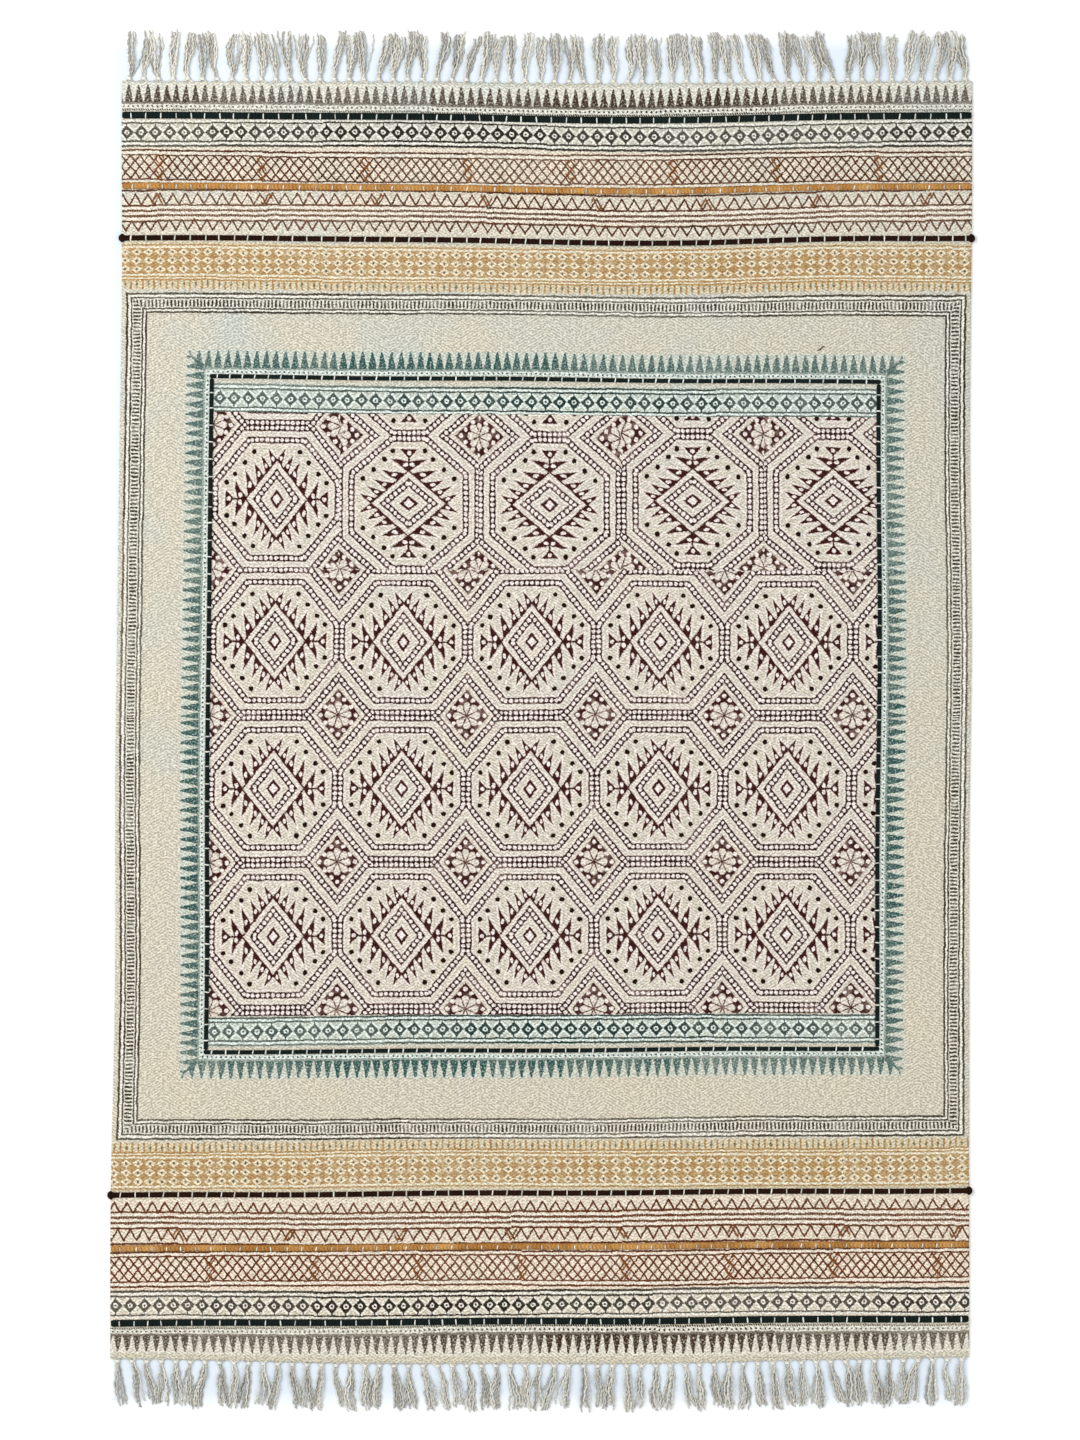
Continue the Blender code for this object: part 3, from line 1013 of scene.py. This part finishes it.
def build_cloth():
    """The cloth as one closed sheet, with a material for each print and its places kept as a UV map."""
    sides = (FIELD_SIDE, PANEL_SIDE, LADDER_SIDE)
    across = grid_lines(HALF_WIDTH, [sign * side for sign in (-1, 1) for side in sides])
    ends = (FIELD_END, PANEL_END, LADDER_END, *(starts for _, starts in END_PRINTS))
    along = grid_lines(HALF_LENGTH, [border + PRINT_SHIFT for border in border_lines(ends)])
    wide, long = len(across), len(along)
    middle = CLOTH_THICKNESS / 2
    points = []
    for face in (1, -1):
        for v in along:
            for u in across:
                keep = rounded(u, HALF_WIDTH) * rounded(v, HALF_LENGTH)
                half = middle if face < 0 else top_of_cloth(u, v) - middle
                points.append((*laid(u, v), middle + face * half * keep))
    bottom = wide * long

    faces, slots = [], []
    for row in range(long - 1):
        for column in range(wide - 1):
            a = row * wide + column
            top = (a, a + 1, a + wide + 1, a + wide)
            u = (across[column] + across[column + 1]) / 2
            v = (along[row] + along[row + 1]) / 2 - PRINT_SHIFT
            faces.append(top)
            slots.append(ZONES.index(zone(u, v)))
            faces.append(tuple(bottom + corner for corner in reversed(top)))
            slots.append(ZONES.index("back"))
    rim = list(range(wide))
    rim += [row * wide + wide - 1 for row in range(1, long)]
    rim += [(long - 1) * wide + column for column in range(wide - 2, -1, -1)]
    rim += [row * wide for row in range(long - 2, 0, -1)]
    for a, b in zip(rim, rim[1:] + rim[:1]):
        faces.append((a, bottom + a, bottom + b, b))
        slots.append(ZONES.index("back"))

    mesh = smooth_mesh("cloth", points, faces)
    mesh.polygons.foreach_set("material_index", slots)
    for name, draw in DRAWS.items():
        mesh.materials.append(printed_cotton(f"cotton_{name}", draw))

    corners = np.empty(len(mesh.loops), dtype=np.int32)
    mesh.loops.foreach_get("vertex_index", corners)
    on_back = corners >= bottom
    place = corners % bottom
    u = np.array(across)[place % wide]
    v = np.array(along)[place // wide]
    in_field = np.repeat(np.array(slots) == ZONES.index("field"), 4)
    in_print = np.array([printed(place_along - PRINT_SHIFT) for place_along in along])[place // wide]
    print_v = np.where(in_field, v - PRINT_SHIFT, in_print)
    map_places(mesh, "Print", np.stack([u, print_v], axis=1))
    share = (u + HALF_WIDTH) / CLOTH_WIDTH
    front = 1 - BACK_STRIP - BACK_GAP
    baked_u = np.where(on_back, front + BACK_GAP + share * BACK_STRIP, share * front)
    map_places(mesh, "OFBake", np.stack([baked_u, (v + HALF_LENGTH) / CLOTH_LENGTH], axis=1))
    return add_object("cloth", mesh)


# ------------ tubes: yarns, cords and stitches


class Strands:
    """Many tubes gathered into one mesh, each with a shade of its own and places along and around it."""

    def __init__(self):
        self.points, self.faces, self.places, self.shades = [], [], [], []

    def add(self, path, radii, shade=0.5, sides=6, flat=1.0):
        """A tube along a path of points. flat makes it lower than it is wide."""
        path = np.asarray(path, dtype=float)
        ways = np.gradient(path, axis=0)
        ways /= np.linalg.norm(ways, axis=1, keepdims=True)
        across = np.cross(ways, (0.0, 0.0, 1.0))
        across /= np.linalg.norm(across, axis=1, keepdims=True)
        up = np.cross(across, ways)
        steps = np.concatenate([[0.0], np.cumsum(np.linalg.norm(np.diff(path, axis=0), axis=1))])
        start = len(self.points)
        for centre, side, rise, radius in zip(path, across, up, radii):
            for corner in range(sides):
                turn = 2 * math.pi * corner / sides
                step = side * math.cos(turn) + rise * math.sin(turn) * flat
                self.points.append(tuple(centre + step * radius))
                self.shades.append(shade)
        for ring in range(len(path) - 1):
            for corner in range(sides):
                a = start + ring * sides + corner
                b = start + ring * sides + (corner + 1) % sides
                self.faces.append((a, b, b + sides, a + sides))
                low, high = corner / sides, (corner + 1) / sides
                near, far = steps[ring], steps[ring + 1]
                self.places += [(low, near), (high, near), (high, far), (low, far)]
        for first, turn in ((start, -1), (start + (len(path) - 1) * sides, 1)):
            cap = [first + corner for corner in range(sides)][::turn]
            self.faces.append(tuple(cap))
            self.places += [(0.5, 0.0)] * sides

    def build(self, name, material):
        mesh = smooth_mesh(name, self.points, self.faces)
        map_places(mesh, "Strand", self.places)
        keep_shades(mesh, self.shades)
        mesh.materials.append(material)
        return add_object(name, mesh)


def smooth_path(stops, count):
    """count points along a smooth curve through the stops."""
    stops = np.asarray(stops, dtype=float)
    padded = np.vstack([2 * stops[0] - stops[1], stops, 2 * stops[-1] - stops[-2]])
    curve = []
    for place in np.linspace(0, len(stops) - 1, count):
        left = min(int(place), len(stops) - 2)
        t = place - left
        a, b, c, d = padded[left:left + 4]
        bend = (2 * a - 5 * b + 4 * c - d) * t**2 + (3 * b - a - 3 * c + d) * t**3
        curve.append(0.5 * (2 * b + (c - a) * t + bend))
    return np.array(curve)


def yarn_material(name, colour, twist):
    """Plied yarn: slanting plies with painted shade in their grooves, and a shade that differs from strand to
    strand.
    """
    material, tree, shader = new_material(name)
    around, along = mapped_places(tree, "Strand")
    ply = (around * (4 * math.pi) + along * (2 * math.pi / twist)).sine()
    height = ply.scaled(0.5, 0.5, clamp=True)
    shade = point_shade(tree)
    fuzz = noise(tree, along * 1000.0, around * 6.0 + shade * 50.0, (2.5, 1.5), 4.0)
    # The plies' grooves are painted darker, as painted shade, on top of the relief.
    add_tint(tree, shader, colour, height * 0.25 + shade * 0.62 + fuzz * 0.20 + 0.38)
    add_relief(tree, shader, height, 0.7, 0.0005)
    make_matt(shader, 0.9, 0.15)
    return material


# ------------ the fringe

YARNS_PER_TASSEL = 10
YARN_RADIUS = 0.00100
YARN_POINTS = 28
YARN_SIDES = 5
KNOT_AT = 0.0034
KNOT_YARN = 0.00105
KNOT_TURN_HALF = 0.0009
KNOT_LEAN = 0.0008

# Half of a knot turn's profile: how far aside each point is, and how high.
KNOT_PROFILE = ((0.0030, 0.0012), (0.0021, 0.0034), (0.0, 0.0043))
FAN_HALF_WIDTH = 0.0088
TASSEL_SPREAD = 0.0068
CRIMP = 0.0007
CRIMP_LENGTH = 0.013
BOW = 0.0028
WAVE = 0.0022
STRAY = (0.007, 0.014)
STRAY_SHARE = 0.04

# The least and the greatest share of its tassel's length that a yarn has, by end.
YARN_REACH = {1: (0.93, 1.07), -1: (0.86, 1.01)}


def tassel_places(clumps, end):
    """Each tassel's place across the cloth, knot and tip. end is +1 at the far end and -1 at the near end."""
    count = sum(tassels for tassels, _ in clumps)
    pitch = CLOTH_WIDTH / count
    places = []
    for tassels, swing in clumps:
        first = len(places)
        middle = first + tassels / 2
        for number in range(first, first + tassels):
            across = (number + 0.5 - count / 2) * pitch
            tip_across = (middle - count / 2 + (number + 0.5 - middle) * TIP_GATHER) * pitch + swing / 1000
            length_here = TASSEL_LENGTH * (1 + TASSEL_LENGTH_VARIATION * math.sin(2.4 * number))
            knot_x, knot_y = laid(across, end * HALF_LENGTH)
            tip = (knot_x + tip_across - across, knot_y + end * length_here)
            places.append((across, (knot_x, knot_y), tip))
    return places


def add_tassel(strands, chance, across, knot, tip, end):
    """Yarns that leave the cloth's edge in a fan, meet in a knot and wave loosely to a splayed tip."""
    yarns = YARNS_PER_TASSEL - chance.choice((0, 0, 1, 3))
    bow = chance.uniform(-BOW, BOW)
    wave = chance.uniform(-WAVE, WAVE)
    root = knot[1] + end * KNOT_AT
    for number in range(yarns):
        share = (number + 0.5) / yarns * 2 - 1
        layer = chance.randrange(3)
        lift = YARN_RADIUS * (1.0 + 1.3 * layer)
        edge_x, edge_y = laid(across + share * FAN_HALF_WIDTH, end * (HALF_LENGTH - 0.0012))
        stray = chance.choice((-1, 1)) * chance.uniform(*STRAY) if chance.random() < STRAY_SHARE else 0.0
        tip_x = tip[0] + share * TASSEL_SPREAD + chance.gauss(0, 0.0016) + stray
        tip_y = root + (tip[1] - root) * chance.uniform(*YARN_REACH[end])
        stops = [(edge_x, edge_y, 0.0019), (knot[0] + share * 0.0019, root, 0.0012 + 0.0009 * layer)]
        for part in (0.2, 0.4, 0.6, 0.8):
            belly = math.sin(math.pi * part)
            x = knot[0] + (tip_x - knot[0]) * part + share * TASSEL_SPREAD * 0.42 * belly
            x += bow * belly + wave * math.sin(2 * math.pi * part) + chance.gauss(0, 0.0010)
            stops.append((x, root + (tip_y - root) * part, lift * (1.2 - 0.3 * part)))
        stops.append((tip_x, tip_y, YARN_RADIUS))
        path = smooth_path(stops, YARN_POINTS)
        path[:, 0] += CRIMP * np.sin(path[:, 1] * 2 * math.pi / CRIMP_LENGTH + chance.uniform(0, 6))
        path[:, 2] = np.maximum(path[:, 2], YARN_RADIUS)
        radii = np.full(YARN_POINTS, YARN_RADIUS * chance.uniform(0.85, 1.2))
        radii[-1] *= 0.45
        strands.add(path, radii, chance.random(), YARN_SIDES)


def add_knot(strands, chance, knot, end):
    """Two turns of yarn wrapped over the bundle, flattened like a small pillow."""
    x, y = knot[0], knot[1] + end * KNOT_AT
    (outer, low), (inner, high), (middle, top) = KNOT_PROFILE
    for turn, shift in enumerate((-KNOT_TURN_HALF, KNOT_TURN_HALF)):
        lean = chance.uniform(-KNOT_LEAN, KNOT_LEAN)
        stops = [
            (x - outer, y + end * (shift - lean), low),
            (x - inner, y + end * (shift - lean / 2), high),
            (x + middle, y + end * shift, top + 0.0003 * turn),
            (x + inner, y + end * (shift + lean / 2), high),
            (x + outer, y + end * (shift + lean), low),
        ]
        # The knot turns take the lightest strand shade: a painted highlight on the raised knots.
        strands.add(smooth_path(stops, 9), np.full(9, KNOT_YARN), 1.0)


def build_fringe(name, clumps, end, material, seed):
    """All the tassels of one end, as one piece."""
    chance = random.Random(seed)
    strands = Strands()
    for across, knot, tip in tassel_places(clumps, end):
        add_tassel(strands, chance, across, knot, tip, end)
        add_knot(strands, chance, knot, end)
    return strands.build(name, material)


# ------------ couched cords and their stitches

CORD_STEP = 0.0016
CORD_SIDES = 10
PLAIT_PITCH = 0.0052
PLAIT_LEAN = 0.55
CORD_SHORT_OF_EDGE = 0.001
KNOTS_PAST_EDGE = 0.0045
KNOT_SWELL = 0.65
KNOT_FROM_END = 0.0048
KNOT_HALF_LENGTH = 0.0030
END_TAPER = 0.002
CORNER_GAP = 0.0003


def cord_path(route):
    """Evenly spaced (u, v) places along a straight route on the straight cloth, given by its two ends."""
    (u0, v0), (u1, v1) = route
    count = int(math.hypot(u1 - u0, v1 - v0) / CORD_STEP) + 1
    return [(u0 + (u1 - u0) * i / (count - 1), v0 + (v1 - v0) * i / (count - 1)) for i in range(count)]


def build_cord(name, route, cord, material, knots=False):
    """A flat plaited cord: an oval strip whose face rises in slanting lobes. It can end in knots."""
    places = cord_path(route)
    points, shades = [], []
    last = len(places) - 1
    for number, (u, v) in enumerate(places):
        x, y = laid(u, v)
        way = np.subtract(laid(*places[min(last, number + 1)]), laid(*places[max(0, number - 1)]))
        way /= np.linalg.norm(way)
        run = number * CORD_STEP
        to_end = min(number, last - number) * CORD_STEP
        swell = 1.0
        if knots:
            swell += KNOT_SWELL * math.exp(-(((to_end - KNOT_FROM_END) / KNOT_HALF_LENGTH) ** 2))
        if to_end < END_TAPER:
            swell *= 0.55 + 0.45 * to_end / END_TAPER
        base = top_of_cloth(u, v) if abs(u) < HALF_WIDTH else CLOTH_THICKNESS
        for corner in range(CORD_SIDES):
            turn = 2 * math.pi * corner / CORD_SIDES
            aside = math.cos(turn)
            rise = math.sin(turn)
            lobe = abs(math.sin(math.pi * (run / PLAIT_PITCH - PLAIT_LEAN * abs(aside))))
            groove = math.exp(-((aside / 0.25) ** 2)) * (rise > 0)
            high = cord.height / 2 * (0.80 + 0.30 * lobe - 0.22 * groove) * swell
            wide = cord.width / 2 * (0.93 + 0.10 * lobe) * swell
            edge_x = x - way[1] * aside * wide
            edge_y = y + way[0] * aside * wide
            points.append((edge_x, edge_y, base + cord.height / 2 * swell + high * rise))
            # Painted shade: each point is darker between the plait's lobes and below the cord's middle, and
            # lightest on top of a lobe.
            shades.append(lobe * (0.7 + 0.3 * max(0.0, rise)))
    faces = []
    for ring in range(last):
        for corner in range(CORD_SIDES):
            a = ring * CORD_SIDES + corner
            b = ring * CORD_SIDES + (corner + 1) % CORD_SIDES
            faces.append((a, a + CORD_SIDES, b + CORD_SIDES, b))
    faces.append(tuple(range(CORD_SIDES)))
    faces.append(tuple(reversed(range(last * CORD_SIDES, (last + 1) * CORD_SIDES))))
    mesh = smooth_mesh(name, points, faces)
    keep_shades(mesh, shades)
    mesh.materials.append(material)
    return add_object(name, mesh)


def cord_material(name, colour, pale, speckle):
    """Dyed cotton plait with painted shade: darker between the lobes and on its lower half, with fine yarn
    lines and faded flecks.
    """
    material, tree, shader = new_material(name)
    x, y = (place * 1000.0 for place in object_places(tree))
    flecks = noise(tree, x, y, (2.4, 0.9), 2.0)
    patches = noise(tree, x, y, (40.0, 40.0), 6.0)
    fade = (flecks * speckle + patches * speckle * 0.6).clamped()
    # The cord's colour is scaled by its painted shade.
    add_tint(tree, shader, mixed(tree, fade, colour, pale), point_shade(tree).scaled(0.55, 0.58))
    add_relief(tree, shader, flecks, 0.5, 0.0004)
    make_matt(shader, 0.95, 0.08)
    return material


STITCH_MARGIN = 0.004
STITCH_RADIUS = 0.00090
STITCH_SINK = 0.0003
STITCH_SWELL = (0.5, 0.85, 1.0, 1.05, 1.05, 1.05, 1.0, 0.85, 0.5)
Stitches = namedtuple("Stitches", "pitch reach shift lean")


def add_stitches(strands, chance, route, cord, stitches):
    """White couching stitches at even steps over a cord. reach is their share of the cord's width."""
    (u0, v0), (u1, v1) = route
    total = math.hypot(u1 - u0, v1 - v0)
    way = ((u1 - u0) / total, (v1 - v0) / total)
    place = stitches.pitch * chance.uniform(0.4, 0.6)
    while place < total - STITCH_MARGIN:
        u, v = u0 + way[0] * place, v0 + way[1] * place
        lean = (stitches.lean + chance.uniform(-0.12, 0.12)) * cord.width / 2
        half = cord.width / 2 * stitches.reach
        stops = []
        for aside in (-1.0, -0.85, -0.4, 0.0, 0.4, 0.85, 1.0):
            off = aside * half + stitches.shift * cord.width
            at_u = u - way[1] * off + way[0] * lean * aside
            at_v = v + way[0] * off + way[1] * lean * aside
            x, y = laid(at_u, at_v)
            rise = math.sqrt(max(0.0, 1 - (off / (cord.width / 2 + 0.0006)) ** 2))
            base = top_of_cloth(u, v) - STITCH_SINK
            tuck = 0.4 if abs(aside) == 1.0 else 1.0
            stops.append((x, y, base + (cord.height + STITCH_RADIUS) * rise * tuck))
        path = smooth_path(stops, len(STITCH_SWELL))
        radii = STITCH_RADIUS * np.array(STITCH_SWELL)
        strands.add(path, radii * chance.uniform(0.85, 1.15), chance.random())
        place += stitches.pitch * chance.uniform(0.9, 1.1)


END_STITCHES = {
    "green": Stitches(0.0204, 0.80, -0.10, 0.0),
    "mustard": Stitches(0.0212, 0.62, -0.12, 0.05),
    "brown": Stitches(0.0203, 1.02, 0.0, 0.08),
}
FIELD_STITCHES = Stitches(0.0192, 1.10, 0.0, 0.12)
SIDE_STITCHES = Stitches(0.0225, 1.10, 0.0, 0.05)

THREAD_RADIUS = 0.0007

# Ends of dark thread left lying on the cloth, as places along the straight cloth.
LOOSE_ENDS = (
    ((-0.1850, -0.6700), (-0.1832, -0.6724), (-0.1802, -0.6758), (-0.1774, -0.6752)),
    ((0.3842, 0.5245), (0.3874, 0.5262), (0.3900, 0.5290), (0.3938, 0.5302)),
)


def add_loose_ends(material):
    """The few loose thread ends."""
    strands = Strands()
    for places in LOOSE_ENDS:
        stops = [(*laid(u, v), top_of_cloth(u, v) + THREAD_RADIUS + 0.0001) for u, v in places]
        strands.add(smooth_path(stops, 12), np.full(12, THREAD_RADIUS), 0.5)
    return strands.build("loose_ends", material)


# ------------ putting the rug together


def fit(piece, slot, *nodes):
    """Puts a piece on the rug's body, in place of any CAD nodes named."""
    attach(piece, "root")
    if nodes:
        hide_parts(*nodes)
    return piece


def add_cords(stitch_material):
    """Every cord with its stitches. Returns the pieces."""
    dyes = {
        "green": cord_material("green_cord", GREEN_DYE, (50, 66, 62), 0.25),
        "mustard": cord_material("mustard_cord", MUSTARD_DYE, (160, 100, 40), 0.75),
        "brown": cord_material("brown_cord", BROWN_DYE, (72, 42, 28), 0.25),
    }
    pieces = []
    for end_name, end in (("far", 1), ("near", -1)):
        chance = random.Random(40 + end)
        strands = Strands()
        for colour, cord in END_CORDS.items():
            v = PRINT_SHIFT + (cord.far if end > 0 else cord.near)
            knots = colour == "brown"
            past = KNOTS_PAST_EDGE if knots else -CORD_SHORT_OF_EDGE
            route = ((-HALF_WIDTH - past, v), (HALF_WIDTH + past, v))
            name = f"{colour}_cord_{end_name}"
            piece = build_cord(name, route, cord, dyes[colour], knots)
            pieces.append(fit(piece, f"{colour}_cord", f"cord_{colour}_{end_name}"))
            stitched = ((-HALF_WIDTH + STITCH_MARGIN, v), (HALF_WIDTH - STITCH_MARGIN, v))
            add_stitches(strands, chance, stitched, cord, END_STITCHES[colour])
        pieces.append(fit(strands.build(f"stitches_{end_name}", stitch_material), "stitch_thread"))

    chance = random.Random(77)
    strands = Strands()
    half = FIELD_CORD_SIDE + FIELD_CORD.width / 2
    inset = FIELD_CORD.width / 2 + CORNER_GAP
    near, far = FIELD_CORD.near, FIELD_CORD.far
    routes = {
        "far": ((-half, far), (half, far)),
        "near": ((-half, near), (half, near)),
        "left": ((-FIELD_CORD_SIDE, near + inset), (-FIELD_CORD_SIDE, far - inset)),
        "right": ((FIELD_CORD_SIDE, near + inset), (FIELD_CORD_SIDE, far - inset)),
    }
    for side, ends in routes.items():
        route = tuple((u, v + PRINT_SHIFT) for u, v in ends)
        piece = build_cord(f"field_cord_{side}", route, FIELD_CORD, dyes["green"])
        pieces.append(fit(piece, "green_cord", f"cord_field_{side}"))
        stitches = FIELD_STITCHES if side in ("far", "near") else SIDE_STITCHES
        add_stitches(strands, chance, route, FIELD_CORD, stitches)
    pieces.append(fit(strands.build("stitches_field", stitch_material), "stitch_thread"))
    return pieces


def add_rug():
    """The cloth, fringes, cords and stitches, each in the place of its CAD node."""
    cloth = fit(build_cloth(), "printed_cotton", "rug_cloth")
    yarn = yarn_material("fringe_yarn", YARN, 0.0062)
    pieces = []
    for name, clumps, end, seed in (("far", FAR_CLUMPS, 1, 11), ("near", NEAR_CLUMPS, -1, 12)):
        fringe = build_fringe(f"tassels_{name}", clumps, end, yarn, seed)
        pieces.append(fit(fringe, "fringe_yarn", f"fringe_{name}"))
    pieces += add_cords(yarn_material("stitch_thread", THREAD, 0.0030))
    loose = add_loose_ends(yarn_material("brown_thread", BROWN_DYE, 0.0030))
    pieces.append(fit(loose, "brown_cord"))


# ------------ floor, light and camera

VIEW_HEIGHT = 2.0304
VIEW_MIDDLE = (-0.0014, 0.0014)
LENS = 100.0
SENSOR = 36.0
LIGHT_HEIGHT = 3.0
LIGHT_COLOUR = (1.0, 0.97, 0.93)
Light = namedtuple("Light", "x y size power")
LIGHTS = {"key": Light(-2.2, 1.0, 2.6, 97.0), "fill": Light(2.4, -0.9, 3.0, 45.0)}
SKY_COLOUR = (0.86, 0.94, 1.0, 1.0)
SKY_POWER = 0.63
FLOOR_COLOUR = (273, 270, 268)
# Painted shadow: the floor is tinted a faint, darker blue close to the rug, fading out over a short reach.
FLOOR_PAINTED_SHADOW = (242, 250, 259)
PAINTED_SHADOW_REACH = 0.045
PAINTED_SHADOW_FROM = HALF_LENGTH + TASSEL_LENGTH * 0.65
PAINTED_SHADOW_SIDE_FADE = 5.0
FLOOR_SIZE = 30.0
FLOOR_BELOW = 0.0002


def add_floor():
    """A plain white floor with a faint blue painted shadow close to the rug's ends."""
    bpy.ops.mesh.primitive_grid_add(x_subdivisions=4, y_subdivisions=4, size=FLOOR_SIZE)
    floor = bpy.context.object
    floor.name = "floor"
    material, tree, shader = new_material("floor")
    x, y = object_places(tree)
    away = (abs(x) * PAINTED_SHADOW_SIDE_FADE - HALF_WIDTH * PAINTED_SHADOW_SIDE_FADE).highest(abs(y) - PAINTED_SHADOW_FROM)
    painted_shadow_share = away.scaled(-1.0 / PAINTED_SHADOW_REACH, 1.0, clamp=True)
    # The floor's colour takes the painted faint blue shadow close to the rug.
    tree.links.new(mixed(tree, painted_shadow_share * painted_shadow_share, FLOOR_COLOUR, FLOOR_PAINTED_SHADOW), shader.inputs["Base Color"])
    make_matt(shader, 0.9, 0.1)
    floor.data.materials.append(material)
    floor.location.z = -FLOOR_BELOW


def add_light(name, light):
    """A large soft light that faces the middle of the rug."""
    lamp = bpy.data.lights.new(name, "AREA")
    lamp.shape = "SQUARE"
    lamp.size = light.size
    lamp.energy = light.power
    lamp.color = LIGHT_COLOUR
    made = add_object(name, lamp)
    made.location = (light.x, light.y, LIGHT_HEIGHT)
    aim = made.constraints.new("TRACK_TO")
    aim.target = add_object(name + "_target", None)
    aim.track_axis = "TRACK_NEGATIVE_Z"
    aim.up_axis = "UP_Y"


def add_world():
    """An even, slightly cool surround."""
    world = bpy.data.worlds.new("surround")
    world.use_nodes = True
    back = world.node_tree.nodes["Background"]
    back.inputs[0].default_value = SKY_COLOUR
    back.inputs[1].default_value = SKY_POWER
    bpy.context.scene.world = world


def add_camera():
    """A long lens straight above the rug."""
    camera = bpy.data.cameras.new("camera")
    camera.lens = LENS
    camera.sensor_width = SENSOR
    camera.clip_end = 50.0
    made = add_object("camera", camera)
    made.location = (*VIEW_MIDDLE, VIEW_HEIGHT * LENS / SENSOR + CLOTH_THICKNESS)
    bpy.context.scene.camera = made


add_rug()
add_floor()
for light_name, light in LIGHTS.items():
    add_light(light_name, light)
add_world()
add_camera()
bpy.context.scene.view_settings.view_transform = "Standard"
